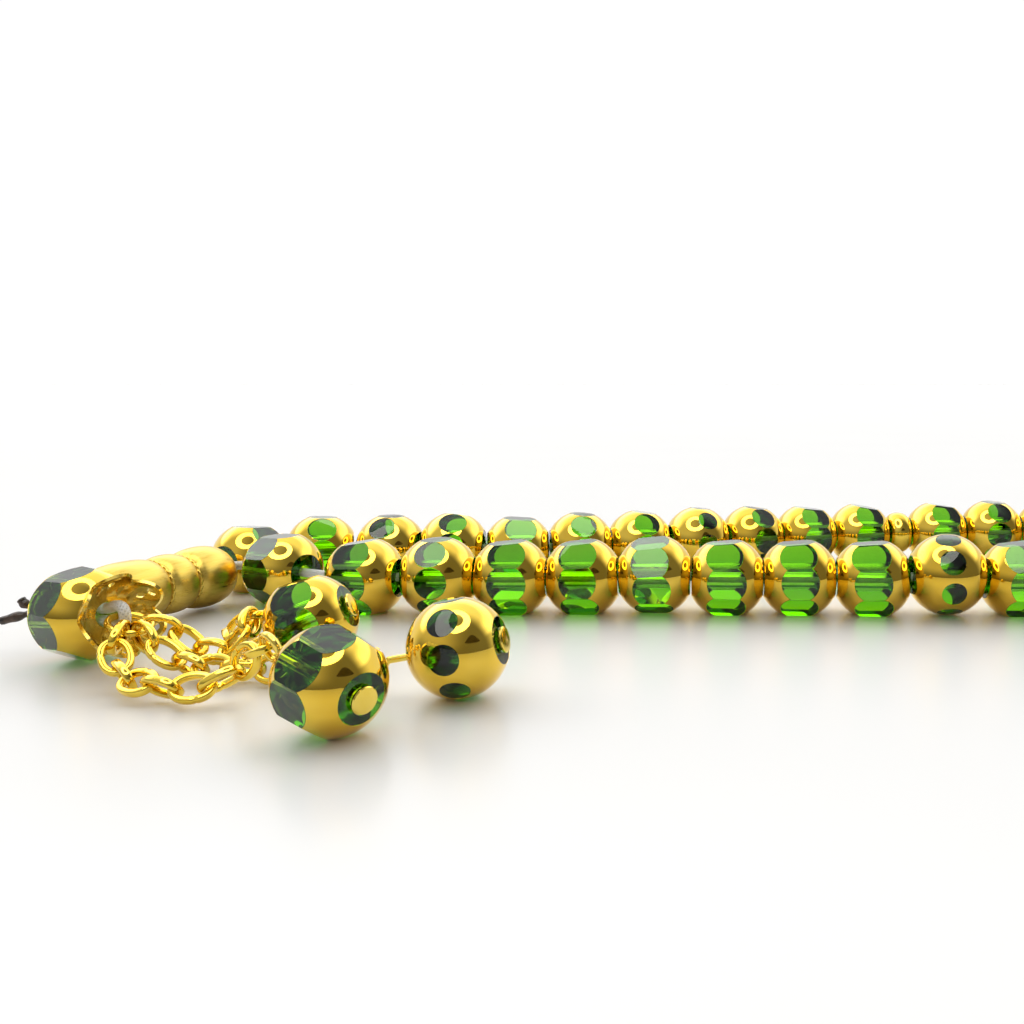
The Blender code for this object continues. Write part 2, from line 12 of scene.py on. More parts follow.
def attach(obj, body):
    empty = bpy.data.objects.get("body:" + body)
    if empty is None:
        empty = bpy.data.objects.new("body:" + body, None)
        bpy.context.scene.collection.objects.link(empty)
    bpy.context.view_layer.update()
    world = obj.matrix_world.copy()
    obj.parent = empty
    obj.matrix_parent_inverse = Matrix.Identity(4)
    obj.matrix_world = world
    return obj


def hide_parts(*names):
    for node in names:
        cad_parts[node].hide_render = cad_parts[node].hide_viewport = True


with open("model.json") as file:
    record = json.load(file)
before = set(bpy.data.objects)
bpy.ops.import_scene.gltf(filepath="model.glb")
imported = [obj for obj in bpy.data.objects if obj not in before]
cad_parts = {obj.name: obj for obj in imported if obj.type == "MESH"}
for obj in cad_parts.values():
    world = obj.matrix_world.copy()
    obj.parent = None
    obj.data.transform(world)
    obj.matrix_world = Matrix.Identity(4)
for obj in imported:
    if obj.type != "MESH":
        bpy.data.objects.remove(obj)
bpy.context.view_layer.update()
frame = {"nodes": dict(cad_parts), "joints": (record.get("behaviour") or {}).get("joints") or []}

MM = 0.001
UP = Vector((0, 0, 1))
JOINTS = {joint["name"]: joint for joint in frame["joints"]}

# Sizes in millimetres, as in the CAD source
BEAD_RADIUS = 5.0
POLE_FLAT = 4.85
HALF_LENGTH = math.sqrt(BEAD_RADIUS ** 2 - (POLE_FLAT / 2) ** 2)
WINDOW_DIAMETER = {"L": 4.8, "M": 3.95, "S": 3.2}
GROUP_KINDS = ("LLMLLLLLLSL", "LMLMLLMLMML", "LLMSMMLMMML")
BEAD_ROLL = {6: 16.0, 10: 19.0, 30: 10.0}
BEAD_HOLE = 1.9
DOUBLE_HOLE = 2.8
TASSEL_BEAD_SCALE = 0.93
STRING_DIAMETER = 1.15
STRAND_OFFSET = 0.64
DIVIDER_HALF = 1.8

LEADER_FRONT = Vector((-65.4, 108.0, 4.5))
LEADER_BACK = Vector((-60.0, 127.8, 3.95))
LEADER_LENGTH = 20.52
LEADER_BORE_RADIUS = 1.4
LEADER_GROOVES = (8.92, 13.42)
END_HEADING = math.radians(-34.0)
END_RISE = math.radians(6.0)
END_ROLL = math.radians(15.0)
CUP_SHEET = 0.3
CUP_PETALS = 6
RING_RADIUS = 1.9
RING_WIRE = 0.7
RING_TILT = math.radians(24.0)
RING_SPREAD = math.radians(46.0)
STRING_EYE = ((5.6, 0.74), (6.6, 1.02), (7.6, 1.0), (8.2, 0.55))
KNOT = Vector((-68.2, 104.8, 4.4))
KNOT_TAILS = (
    ((-69.2, 104.6, 4.5), (-70.0, 104.4, 4.9), (-70.5, 104.3, 5.6)),
    ((-69.4, 104.6, 4.0), (-70.7, 104.4, 3.7), (-72.9, 104.2, 3.1)),
)
LINK_LENGTH = 4.3
LINK_WIDTH = 3.1
LINK_WIRE = 0.72
TIGHT_HOOK = 0.27
LOOSE_HOOK = 0.51
RING_HOOK = 0.46
PIN_WIRE = 0.7
PIN_HEAD_DIAMETER = 2.4
PIN_HEAD_THICKNESS = 0.4
PIN_HEAD_GAP = 0.15
PIN_EYE_RADIUS = 1.2
PIN_NECK = 3.0
CHAINS = {
    "a": {
        "place": -1,
        "segments": (3, 3, 3),
        "route": ((-51.8, 89.4, 1.9), (-49.3, 87.1, 1.7), (-46.4, 86.1, 1.6), (-43.6, 85.1, 1.6),
                  (-41.0, 85.9, 2.0), (-39.0, 86.3, 3.4), (-37.5, 85.2, 5.2)),
        "arrival": ((-35.9, 83.7), (-33.9, 81.7)),
        "kind": "L",
        "turn": 10.0,
    },
    "b": {
        "place": 0,
        "segments": (3, 3, 3),
        "route": ((-48.4, 93.4, 1.7), (-45.6, 92.2, 1.6), (-42.8, 91.7, 1.6), (-39.9, 91.9, 1.6),
                  (-37.1, 91.2, 1.6), (-34.3, 90.1, 1.6), (-31.2, 89.4, 1.8)),
        "arrival": ((-28.1, 88.9), (-24.4, 88.4)),
        "kind": "S",
        "turn": 0.0,
    },
    "c": {
        "place": 1,
        "segments": (3, 3, 2),
        "route": ((-47.4, 96.3, 1.8), (-44.7, 95.8, 2.3), (-43.1, 96.7, 4.4), (-43.5, 99.5, 4.9),
                  (-45.3, 101.6, 3.6), (-47.3, 101.6, 1.9)),
        "arrival": ((-46.7, 99.6), (-44.2, 98.2)),
        "kind": "L",
        "turn": 0.0,
    },
}


def joint_place(name):
    """A joint's point in the row frame, in metres."""
    return Vector(JOINTS[name]["pos_m"])


def joint_axis(name):
    return Vector(JOINTS[name]["axis"]).normalized()


def middle_of(node):
    """The middle of a node that is the same on both sides of its middle, in metres."""
    vertices = frame["nodes"][node].data.vertices
    places = {tuple(round(c, 7) for c in v.co) for v in vertices}
    return sum((Vector(p) for p in places), Vector()) / len(places)


# Table coordinates to the row frame: the leader's front end is a known point in both
TABLE = joint_place("leader_turn") - LEADER_FRONT * MM


def placed(origin, axis):
    """A placement whose X runs along the axis and whose Z is as near up as it can be."""
    x = axis.normalized()
    y = UP.cross(x).normalized()
    rotation = Matrix((x, y, x.cross(y))).transposed().to_4x4()
    return Matrix.Translation(origin) @ rotation


def table_to_frame(point):
    return TABLE + point * MM


# ---------------------------------------------------------------- materials

class Nodes:
    """A material's node tree, built with short calls."""

    def __init__(self, name):
        self.material = bpy.data.materials.new(name)
        self.material.use_nodes = True
        self.tree = self.material.node_tree
        self.shader = self.tree.nodes["Principled BSDF"]
        self.output = self.tree.nodes["Material Output"]
        self.place = self.add("ShaderNodeTexCoord").outputs["Object"]

    def add(self, kind, **settings):
        node = self.tree.nodes.new(kind)
        for key, value in settings.items():
            setattr(node, key, value)
        return node

    def join(self, source, socket):
        self.tree.links.new(source, socket)

    def set(self, **values):
        for key, value in values.items():
            self.shader.inputs[key.replace("_", " ")].default_value = value

    def stretched(self, scale):
        """Object coordinates multiplied by a different number each way."""
        mapping = self.add("ShaderNodeMapping")
        mapping.inputs["Scale"].default_value = scale
        self.join(self.place, mapping.inputs["Vector"])
        return mapping.outputs["Vector"]

    def noise(self, scale, detail=4.0, stretch=None, roughness=0.5):
        node = self.add("ShaderNodeTexNoise")
        node.inputs["Scale"].default_value = scale
        node.inputs["Detail"].default_value = detail
        node.inputs["Roughness"].default_value = roughness
        source = self.place if stretch is None else self.stretched(stretch)
        self.join(source, node.inputs["Vector"])
        return node.outputs["Fac"]

    def ramp(self, source, stops):
        node = self.add("ShaderNodeValToRGB")
        while len(node.color_ramp.elements) < len(stops):
            node.color_ramp.elements.new(0.5)
        for element, (place, colour) in zip(node.color_ramp.elements, stops):
            element.position = place
            element.color = (*colour, 1.0)
        self.join(source, node.inputs["Fac"])
        return node.outputs["Color"]

    def spread(self, source, low, high, first=0.0, last=1.0):
        """A value mapped from one range to another."""
        node = self.add("ShaderNodeMapRange")
        node.inputs["From Min"].default_value = first
        node.inputs["From Max"].default_value = last
        node.inputs["To Min"].default_value = low
        node.inputs["To Max"].default_value = high
        self.join(source, node.inputs["Value"])
        return node.outputs["Result"]

    def bump(self, source, height, strength=1.0):
        node = self.add("ShaderNodeBump")
        node.inputs["Strength"].default_value = strength
        node.inputs["Distance"].default_value = height
        self.join(source, node.inputs["Height"])
        self.join(node.outputs["Normal"], self.shader.inputs["Normal"])

    def colour(self, source):
        self.join(source, self.shader.inputs["Base Color"])

    def rough(self, source):
        self.join(source, self.shader.inputs["Roughness"])


def green_glass():
    """Deep green glass: its colour comes from the depth of glass a ray crosses."""
    made = Nodes("green_glass")
    made.set(Metallic=0.0, IOR=1.52, Transmission_Weight=1.0, Specular_IOR_Level=0.5)
    made.colour(made.ramp(made.noise(260, 2), ((0.3, (0.93, 1.0, 0.90)), (0.7, (1.0, 1.0, 0.97)))))
    made.rough(made.spread(made.noise(420, 5, roughness=0.6), 0.0, 0.02, 0.45, 0.75))
    absorb = made.add("ShaderNodeVolumeAbsorption")
    absorb.inputs["Color"].default_value = (0.77, 0.918, 0.02, 1.0)
    absorb.inputs["Density"].default_value = 1100.0
    made.join(absorb.outputs["Volume"], made.output.inputs["Volume"])
    return made.material


def mirror_gold():
    """Thin gold plating fired on glass: a mirror with faint clouding, specks and hairlines."""
    made = Nodes("mirror_gold")
    cloud = made.noise(180, 3)
    made.colour(made.ramp(cloud, ((0.3, (0.78, 0.49, 0.035)), (0.7, (0.88, 0.61, 0.075)))))
    grain = made.noise(900, 6, roughness=0.65)
    made.rough(made.spread(grain, 0.035, 0.11, 0.4, 0.8))
    made.set(Metallic=1.0, Coat_Weight=0.3, Coat_IOR=1.5, Coat_Roughness=0.02)
    made.bump(made.noise(1500, 3, stretch=(1.0, 0.5, 0.5)), 0.0000012)
    return made.material


def satin_gold():
    """Gold worn satin along its length, with fine streaks drawn out by the polishing."""
    made = Nodes("satin_gold")
    streak = made.noise(2600, 5, stretch=(0.06, 1.0, 1.0), roughness=0.7)
    made.colour(made.ramp(streak, ((0.3, (0.56, 0.38, 0.055)), (0.7, (0.76, 0.56, 0.13)))))
    made.rough(made.spread(streak, 0.24, 0.42, 0.3, 0.7))
    made.set(Metallic=1.0)
    made.bump(streak, 0.000012, 0.5)
    return made.material


def bright_gold(name, colours, rough, dents):
    """Gold-plated wire and sheet, tumbled bright: soft dents under a clean polish."""
    made = Nodes(name)
    made.colour(made.ramp(made.noise(350, 4), ((0.3, colours[0]), (0.7, colours[1]))))
    made.rough(made.spread(made.noise(1800, 5, roughness=0.6), rough[0], rough[1], 0.35, 0.7))
    made.set(Metallic=1.0)
    made.bump(made.noise(700, 4), dents)
    return made.material


def nylon():
    """Shiny white braid: crossing strands in relief with painted shade in the grooves between them, a
    little translucent.
    """
    made = Nodes("white_nylon")
    uv = made.add("ShaderNodeUVMap", uv_map="UVMap").outputs["UV"]
    waves = []
    for lean in (1.0, -1.0):
        mapping = made.add("ShaderNodeMapping")
        mapping.inputs["Rotation"].default_value = (0, 0, lean * math.radians(38))
        made.join(uv, mapping.inputs["Vector"])
        wave = made.add("ShaderNodeTexWave", bands_direction="X")
        wave.inputs["Scale"].default_value = 1.1
        wave.inputs["Distortion"].default_value = 0.6
        wave.inputs["Detail Scale"].default_value = 2.0
        made.join(mapping.outputs["Vector"], wave.inputs["Vector"])
        waves.append(wave.outputs["Fac"])
    both = made.add("ShaderNodeMath", operation="MAXIMUM")
    made.join(waves[0], both.inputs[0])
    made.join(waves[1], both.inputs[1])
    strands = both.outputs["Value"]
    # Painted shade: the grooves between the strands are coloured darker grey than the raised strands.
    made.colour(made.ramp(strands, ((0.1, (0.62, 0.62, 0.60)), (0.8, (0.93, 0.93, 0.92)))))
    made.rough(made.spread(strands, 0.42, 0.22))
    made.set(Subsurface_Weight=0.25, Subsurface_Scale=0.0006, Sheen_Weight=0.2)
    made.shader.inputs["Subsurface Radius"].default_value = (1.0, 1.0, 1.0)
    made.bump(strands, 0.00006, 0.8)
    return made.material


def burnt():
    """Nylon melted with a flame: a black glossy crust over brown."""
    made = Nodes("burnt_nylon")
    cloud = made.noise(1600, 4)
    made.colour(made.ramp(cloud, ((0.35, (0.012, 0.009, 0.007)), (0.7, (0.10, 0.055, 0.03)))))
    made.rough(made.spread(cloud, 0.18, 0.45))
    made.bump(made.noise(2400, 3), 0.0001)
    return made.material


GLASS = green_glass()
GOLD = mirror_gold()
SATIN = satin_gold()
# Each bright gold: its two colours, its roughness range, and how deep its dents are in metres
CHAIN_GOLD = bright_gold("chain_gold", ((0.82, 0.56, 0.055), (0.93, 0.69, 0.11)),
                         (0.08, 0.2), 0.000008)
PIN_GOLD = bright_gold("pin_gold", ((0.86, 0.62, 0.09), (0.95, 0.74, 0.17)),
                       (0.08, 0.18), 0.00001)
CUP_GOLD = bright_gold("cup_gold", ((0.80, 0.58, 0.10), (0.90, 0.70, 0.18)),
                       (0.14, 0.3), 0.00003)
DIVIDER_GOLD = bright_gold("divider_gold", ((0.80, 0.55, 0.06), (0.9, 0.66, 0.1)),
                           (0.05, 0.14), 0.00001)
NYLON = nylon()
BURNT = burnt()


# ---------------------------------------------------------------- mesh helpers

def add_piece(name, mesh, material, place, body, node, own_axes=False):
    """Link one piece, put it in place, hang it on the body it rides on, and hide the imported part it
    stands for.
    """
    made = bpy.data.objects.new(name, mesh)
    bpy.context.scene.collection.objects.link(made)
    if own_axes:
        made.matrix_world = place
    else:
        mesh.transform(place)
    if material is not None and not mesh.materials:
        mesh.materials.append(material)
    bpy.context.view_layer.update()
    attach(made, body)
    if node:
        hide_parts(node)
    return made


def smooth(mesh, angle=30):
    mesh.shade_smooth()
    mesh.set_sharp_from_angle(angle=math.radians(angle))
    return mesh


def mesh_from(bm, name, angle=30):
    bmesh.ops.recalc_face_normals(bm, faces=bm.faces)
    mesh = bpy.data.meshes.new(name)
    bm.to_mesh(mesh)
    bm.free()
    return smooth(mesh, angle)


def mesh_of(name, vertices, faces, angle=30):
    """A mesh from points in millimetres."""
    mesh = bpy.data.meshes.new(name)
    mesh.from_pydata([(v[0] * MM, v[1] * MM, v[2] * MM) for v in vertices], [], faces)
    mesh.validate()
    mesh.update()
    return smooth(mesh, angle)


def turned(outline, segments, closed=True):
    """Turn (x, radius) points in millimetres about X; a closed outline gives a closed body."""
    bm = bmesh.new()
    corners = [bm.verts.new(Vector((x, 0, -r)) * MM) for x, r in outline]
    pairs = list(zip(corners, corners[1:]))
    if closed:
        pairs.append((corners[-1], corners[0]))
    edges = [bm.edges.new(pair) for pair in pairs]
    bmesh.ops.spin(bm, geom=corners + edges, cent=(0, 0, 0), axis=(1, 0, 0),
                   angle=2 * math.pi, steps=segments, use_merge=True)
    bmesh.ops.remove_doubles(bm, verts=bm.verts, dist=0.0000005)
    return bm


def swept(points, section, closed=False, first_side=None):
    """Carry a section along points; section(i) gives (side, other) offsets for ring i."""
    count = len(points)
    tangents = []
    for i in range(count):
        if closed:
            tangents.append((points[(i + 1) % count] - points[i - 1]).normalized())
        else:
            low = points[max(i - 1, 0)]
            high = points[min(i + 1, count - 1)]
            tangents.append((high - low).normalized())
    side = first_side or tangents[0].orthogonal()
    vertices = []
    rings = []
    for i in range(count):
        side = (side - tangents[i] * side.dot(tangents[i])).normalized()
        other = tangents[i].cross(side)
        ring = []
        for a, b in section(i):
            ring.append(len(vertices))
            vertices.append(points[i] + side * a + other * b)
        rings.append(ring)
    faces = []
    pairs = list(zip(rings, rings[1:]))
    if closed:
        pairs.append((rings[-1], rings[0]))
    for one, two in pairs:
        for k in range(len(one)):
            after = (k + 1) % len(one)
            faces.append((one[k], one[after], two[after], two[k]))
    if not closed:
        faces.append(tuple(reversed(rings[0])))
        faces.append(tuple(rings[-1]))
    return vertices, faces


def rounded(value, power):
    """A sine or cosine raised to a power with its sign kept, for squarer or sharper ovals."""
    return math.copysign(abs(value) ** power, value)


def round_section(radius, sides):
    ring = []
    for k in range(sides):
        angle = 2 * math.pi * k / sides
        ring.append((radius * math.cos(angle), radius * math.sin(angle)))
    return ring


def grid_faces(rows, columns):
    """Faces over rows of points, closed both ways round."""
    faces = []
    for i in range(rows):
        for k in range(columns):
            here = i * columns
            following = (i + 1) % rows * columns
            after = (k + 1) % columns
            faces.append((here + k, here + after, following + after, following + k))
    return faces


def smooth_curve(points, steps=12):
    """A smooth curve through every point, as closely spaced points along it."""
    knots = [Vector(p) for p in points]
    knots = [2 * knots[0] - knots[1]] + knots + [2 * knots[-1] - knots[-2]]
    curve = []
    for before, start, end, after in zip(knots, knots[1:], knots[2:], knots[3:]):
        for step in range(steps):
            t = step / steps
            linear = (end - before) * t
            square = (2 * before - 5 * start + 4 * end - after) * t ** 2
            cube = (3 * start - before - 3 * end + after) * t ** 3
            curve.append(0.5 * (2 * start + linear + square + cube))
    curve.append(knots[-2])
    return curve


class Route:
    """A curve that can be read at a distance along it, or walked in straight steps."""

    def __init__(self, points):
        self.points = smooth_curve(points)
        self.lengths = [0.0]
        for a, b in zip(self.points, self.points[1:]):
            self.lengths.append(self.lengths[-1] + (b - a).length)
        self.total = self.lengths[-1]

    def at(self, distance):
        distance = min(max(distance, 0.0), self.total)
        low = 0
        high = len(self.lengths) - 1
        while high - low > 1:
            middle = (low + high) // 2
            if self.lengths[middle] <= distance:
                low = middle
            else:
                high = middle
        share = (distance - self.lengths[low]) / (self.lengths[high] - self.lengths[low])
        return self.points[low].lerp(self.points[high], share)

    def step(self, distance, chord):
        """The distance along the curve where a straight step of the chord's length ends."""
        start = self.at(distance)
        low = distance + 0.5 * chord
        high = distance + 1.8 * chord
        for _ in range(30):
            middle = (low + high) / 2
            if (self.at(middle) - start).length < chord:
                low = middle
            else:
                high = middle
        return (low + high) / 2


# ---------------------------------------------------------------- beads

BEAD_SEGMENTS = 96
BEAD_ARCS = 48
WINDOWS = 8
BORE_CHAMFER = 0.18
# The plating's outer face and the glass's, inside the bead's full radius, in millimetres
PLATING_INSET = 0.03
GLASS_INSET = 0.055
PLATING_THICKNESS = 0.06
# How far the grinding drifts along the bead from its lowest window to its highest, in degrees
WINDOW_SKEW = (2.0, 9.0)
# How unevenly the other windows are ground: round the bead and along it in degrees, and in size
WINDOW_WOBBLE = 1.6
WINDOW_LEAN = 2.0
WINDOW_SPREAD = 0.03


def window_planes(kind, rng, drift):
    """Where the eight windows are ground by hand: a point and a direction each, in millimetres."""
    skew = drift * rng.uniform(*WINDOW_SKEW)
    planes = []
    for number in range(WINDOWS):
        lowest = number == 0
        wobble = 0.0 if lowest else rng.uniform(-WINDOW_WOBBLE, WINDOW_WOBBLE)
        angle = 2 * math.pi * number / WINDOWS + math.radians(wobble)
        size = 1.0 if lowest else rng.uniform(1 - WINDOW_SPREAD, 1 + WINDOW_SPREAD)
        depth = math.sqrt(BEAD_RADIUS ** 2 - (WINDOW_DIAMETER[kind] * size / 2) ** 2)
        lean = skew * (1 - math.cos(angle)) / 2
        tilt = 0.0 if lowest else math.radians(lean + rng.uniform(-WINDOW_LEAN, WINDOW_LEAN))
        facing = Vector((math.sin(tilt), math.cos(tilt) * math.sin(angle),
                         -math.cos(tilt) * math.cos(angle)))
        planes.append((facing * depth, facing))
    return planes


def sphere_outline(radius):
    """A bead's outer outline from one end flat to the other."""
    half_angle = math.asin(HALF_LENGTH / radius)
    outline = []
    for step in range(BEAD_ARCS + 1):
        angle = half_angle * (2 * step / BEAD_ARCS - 1)
        outline.append((radius * math.sin(angle), radius * math.cos(angle)))
    return outline


def ground_off(bm, plane):
    """Cut away what lies outside one window's plane; gives the cut's edges."""
    place, facing = plane
    cut = bmesh.ops.bisect_plane(
        bm, geom=bm.verts[:] + bm.edges[:] + bm.faces[:], dist=1e-8,
        plane_co=place * MM, plane_no=facing, clear_outer=True)
    return [e for e in cut["geom_cut"] if isinstance(e, bmesh.types.BMEdge)]


def glass_body(name, planes, hole):
    """The drilled glass: ground windows, flat ends, and a bore left streaky by the drill."""
    bore = hole / 2
    outline = [(-HALF_LENGTH + BORE_CHAMFER, bore), (-HALF_LENGTH, bore + BORE_CHAMFER)]
    outline += sphere_outline(BEAD_RADIUS - GLASS_INSET)
    outline += [(HALF_LENGTH, bore + BORE_CHAMFER), (HALF_LENGTH - BORE_CHAMFER, bore)]
    bm = turned(outline, BEAD_SEGMENTS)
    for plane in planes:
        bmesh.ops.contextual_create(bm, geom=ground_off(bm, plane))
    for vertex in bm.verts:
        reach = math.hypot(vertex.co.y, vertex.co.z) / MM
        if abs(reach - bore) < 0.02:
            angle = math.atan2(vertex.co.y, vertex.co.z)
            ripple = 1.0 + 0.018 * math.sin(11 * angle) + 0.012 * math.sin(17 * angle + 1.0)
            vertex.co.y *= ripple
            vertex.co.z *= ripple
    return mesh_from(bm, name, 20)


def gold_shell(name, planes):
    """The plating that the windows and end flats leave: a thin closed skin over the sphere."""
    radius = BEAD_RADIUS - PLATING_INSET
    bm = turned(sphere_outline(radius), BEAD_SEGMENTS, closed=False)
    for plane in planes:
        ground_off(bm, plane)
    bmesh.ops.remove_doubles(bm, verts=bm.verts, dist=0.000001)
    bmesh.ops.recalc_face_normals(bm, faces=bm.faces)
    faces = list(bm.faces)
    rims = [e for e in bm.edges if len(e.link_faces) == 1]
    inner = {}
    for vertex in list(bm.verts):
        inner[vertex] = bm.verts.new(vertex.co * (1 - PLATING_THICKNESS / radius))
    for face in faces:
        bm.faces.new([inner[v] for v in reversed(face.verts)])
    for edge in rims:
        a, b = edge.verts
        bm.faces.new((a, b, inner[b], inner[a]))
    return mesh_from(bm, name, 30)


def build_bead(name, kind, place, hole=BEAD_HOLE, scale=1.0, seed=0, drift=-1):
    """One bead, as its glass and its plating; drift is the way its windows lean along it."""
    rng = random.Random(seed)
    planes = window_planes(kind, rng, drift)
    grown = place @ Matrix.Scale(scale, 4)
    glass = glass_body(name + "_glass", planes, hole / scale)
    add_piece(name + "_glass", glass, GLASS, grown, name, name)
    shell = gold_shell(name + "_plating", planes)
    add_piece(name + "_plating", shell, GOLD, grown, name, None)


def bead_middle(number):
    """A loop bead's middle and direction: the sliding bead's joint isn't at its middle."""
    name = f"bead_{number:02d}"
    joint = name + ("_slide" if number == 1 else "_spin")
    middle = middle_of(name) if number == 1 else joint_place(joint)
    return middle, joint_axis(joint)


def build_loop_beads():
    for number, kind in enumerate("".join(GROUP_KINDS), 1):
        roll = Matrix.Rotation(math.radians(BEAD_ROLL.get(number, 0.0)), 4, "X")
        build_bead(f"bead_{number:02d}", kind, placed(*bead_middle(number)) @ roll, seed=number)


# ---------------------------------------------------------------- dividers and leader

def build_dividers():
    chamfer = [(DIVIDER_HALF - 0.18, 0.95), (DIVIDER_HALF, 1.15), (DIVIDER_HALF, 1.62)]
    outline = [(-x, r) for x, r in chamfer]
    for step in range(29):
        angle = math.pi * (step / 28 - 0.5)
        outline.append((1.76 * math.sin(angle), 1.7 + 1.55 * math.cos(angle) ** 0.8))
    outline += reversed(chamfer)
    for number in (1, 2):
        name = f"divider_{number}"
        mesh = mesh_from(turned(outline, 64), name + "_disc")
        place = placed(joint_place(name + "_spin"), joint_axis(name + "_spin"))
        add_piece(name + "_disc", mesh, DIVIDER_GOLD, place, name, name)


# The leader's outline from front to back: distance along it and radius
LEADER_PROFILE = (
    (0.0, 1.75), (0.12, 2.2), (0.5, 2.72), (1.1, 3.12), (2.2, 3.44), (3.6, 3.62), (5.4, 3.66),
    (7.0, 3.6), (8.0, 3.44), (8.55, 3.24), (8.8, 3.10), (9.05, 3.10), (9.3, 3.24), (9.9, 3.48),
    (10.8, 3.60), (11.7, 3.60), (12.6, 3.48), (13.1, 3.26), (13.3, 3.12), (13.55, 3.12), (13.8, 3.28),
    (14.4, 3.58), (15.6, 3.80), (17.0, 3.86), (18.4, 3.70), (19.4, 3.36), (20.1, 2.86), (20.45, 2.3),
    (20.52, 1.8),
)


def rope_line(name, reach):
    """A twisted cord in relief, lying in a groove of the leader."""
    around = 150
    across = 8
    strands = 26
    vertices = []
    for i in range(around):
        angle = 2 * math.pi * i / around
        for k in range(across):
            turn = 2 * math.pi * k / across
            twist = 0.055 * math.cos(2 * turn + angle * strands)
            radius = 3.14 + (0.17 + twist) * math.cos(turn)
            x = reach + (0.19 + twist) * math.sin(turn)
            vertices.append((x, radius * math.sin(angle), radius * math.cos(angle)))
    return mesh_of(name, vertices, grid_faces(around, across), 60)


def build_leader():
    """The turned leader: three swells, with a twisted cord pattern rolled into each groove."""
    curve = smooth_curve([(x, r, 0) for x, r in LEADER_PROFILE], 4)
    outline = [(0.0, LEADER_BORE_RADIUS)] + [(p.x, p.y) for p in curve]
    outline += [(LEADER_LENGTH, LEADER_BORE_RADIUS)]
    mesh = mesh_from(turned(outline, 120), "leader_body")
    place = placed(joint_place("leader_turn"), joint_axis("leader_turn"))
    add_piece("leader_body", mesh, SATIN, place, "leader_bead", "leader_bead",
              own_axes=True)
    for number, reach in enumerate(LEADER_GROOVES, 1):
        name = f"leader_rope_{number}"
        add_piece(name, rope_line(name, reach), SATIN, place, "leader_bead", None,
                  own_axes=True)


# ---------------------------------------------------------------- end bead, cup and ring

def end_axis():
    level = Vector((math.cos(END_HEADING), math.sin(END_HEADING), 0))
    return level * math.cos(END_RISE) + UP * math.sin(END_RISE)


def build_end_bead():
    """The bead between leader and cup, bored wide for both strands."""
    place = placed(joint_place("end_bead_spin"), end_axis()) @ Matrix.Rotation(END_ROLL, 4, "X")
    build_bead("end_bead", "L", place, hole=DOUBLE_HOLE, seed=101, drift=1)


def cup_point(row, angle, lift):
    """A point of the cup's sheet: row 0 at its hole, 1 at the petals' tips."""
    petal = abs(math.cos(3 * angle))
    outer = max(0.0, row - 0.34) / 0.66
    reach = 0.15 + 3.62 * row ** 1.35 - 2.1 * (1 - petal ** 0.85) * outer ** 1.2
    radius = 1.45 + 2.35 * math.sin(math.pi / 2 * row ** 0.7) + 0.22 * petal * outer ** 3
    crease = 0.30 * (1 - petal) ** 2 * math.sin(math.pi * min(1.0, row * 0.8))
    rib = 0.12 * petal ** 8 * math.sin(math.pi * row)
    out = radius - crease - rib + lift
    return Vector((reach, -out * math.sin(angle), out * math.cos(angle)))


def cup_sheet():
    """The cup as a thin closed sheet."""
    columns = 144
    rows = 26
    bm = bmesh.new()
    layers = []
    for lift in (CUP_SHEET / 2, -CUP_SHEET / 2):
        layer = []
        for i in range(rows + 1):
            ring = []
            for j in range(columns):
                angle = 2 * math.pi * (j + 0.5) / columns
                ring.append(bm.verts.new(cup_point(i / rows, angle, lift) * MM))
            layer.append(ring)
        layers.append(layer)
    outer, inner = layers
    for j in range(columns):
        k = (j + 1) % columns
        for i in range(rows):
            bm.faces.new((outer[i][j], outer[i][k], outer[i + 1][k], outer[i + 1][j]))
            bm.faces.new((inner[i][j], inner[i + 1][j], inner[i + 1][k], inner[i][k]))
        for i in (0, rows):
            bm.faces.new((outer[i][j], outer[i][k], inner[i][k], inner[i][j]))
    return mesh_from(bm, "cup_sheet", 40)


def cup_cutters():
    """Prisms through the sheet for the two piercings of each petal."""
    sides = 16
    bm = bmesh.new()
    for petal in range(CUP_PETALS):
        angle = 2 * math.pi * petal / CUP_PETALS
        for row, long, wide in ((0.45, 1.0, 0.6), (0.78, 0.95, 0.95)):
            here = cup_point(row, angle, 0.0)
            along = (cup_point(row + 0.05, angle, 0.0) - here).normalized()
            across = (cup_point(row, angle + 0.05, 0.0) - here).normalized()
            out = along.cross(across).normalized()
            rings = []
            for level in (-1.0, 1.0):
                ring = []
                for k in range(sides):
                    turn = 2 * math.pi * k / sides
                    u = rounded(math.cos(turn), 1.25) * long / 2
                    v = rounded(math.sin(turn), 1.25) * wide / 2
                    ring.append(bm.verts.new((here + along * u + across * v + out * level) * MM))
                rings.append(ring)
            bottom, top = rings
            bm.faces.new(bottom)
            bm.faces.new(list(reversed(top)))
            for k in range(sides):
                after = (k + 1) % sides
                bm.faces.new((bottom[k], bottom[after], top[after], top[k]))
    return mesh_from(bm, "cup_cutters")


def build_cup():
    """The flower cup: creased petals of thin sheet, each pierced twice."""
    place = placed(joint_place("cup_spin"), end_axis())
    cup = add_piece("cup_sheet", cup_sheet(), CUP_GOLD, place, "flower_cup", "flower_cup",
                    own_axes=True)
    tool = bpy.data.objects.new("cup_cutters", cup_cutters())
    bpy.context.scene.collection.objects.link(tool)
    tool.matrix_world = place
    cut = cup.modifiers.new("piercings", "BOOLEAN")
    cut.operation = "DIFFERENCE"
    cut.solver = "EXACT"
    cut.object = tool
    bpy.context.view_layer.update()
    evaluated = cup.evaluated_get(bpy.context.evaluated_depsgraph_get())
    pierced = bpy.data.meshes.new_from_object(evaluated)
    cup.modifiers.clear()
    cup.data = smooth(pierced, 40)
    bpy.data.objects.remove(tool, do_unlink=True)


